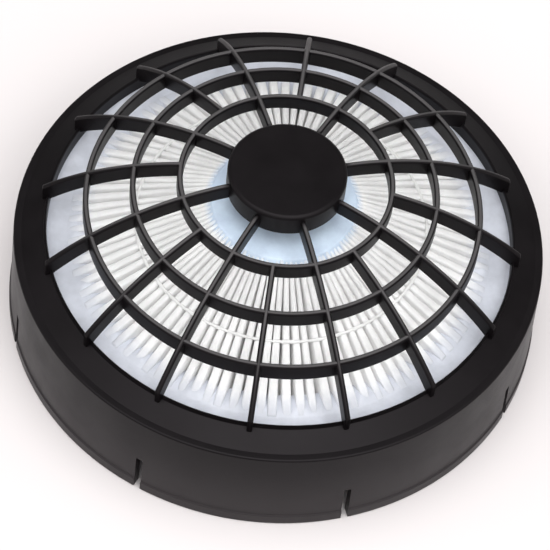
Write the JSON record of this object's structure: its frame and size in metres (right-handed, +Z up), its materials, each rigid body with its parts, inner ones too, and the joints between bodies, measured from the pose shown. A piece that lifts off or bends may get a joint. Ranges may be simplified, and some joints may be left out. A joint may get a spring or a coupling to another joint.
{
  "type": "dome filter",
  "caption": "Round dome filter: a black ribbed dome with a plain hub over radial white pleats, on a short skirt with snap slots at its lower edge.",
  "frame": {"origin": "centre of the skirt's bottom edge, in the plane that the filter rests on", "axes": "+Z up along the filter's axis through the hub, +X through a short spoke"},
  "size_m": [0.1928, 0.1928, 0.0779],
  "materials": {
    "housing_plastic": "fine satin moulded black plastic",
    "filter_media": "matte white nonwoven sheet",
    "potting": "smooth cast bluish-white polyurethane",
    "glue": "white hot-melt glue"
  },
  "bodies": {
    "root": {"dome_housing": "housing_plastic", "pleated_media": "filter_media", "edge_potting": "potting", "hub_potting": "potting", "pleat_bead": "glue"}
  },
  "joints": []
}
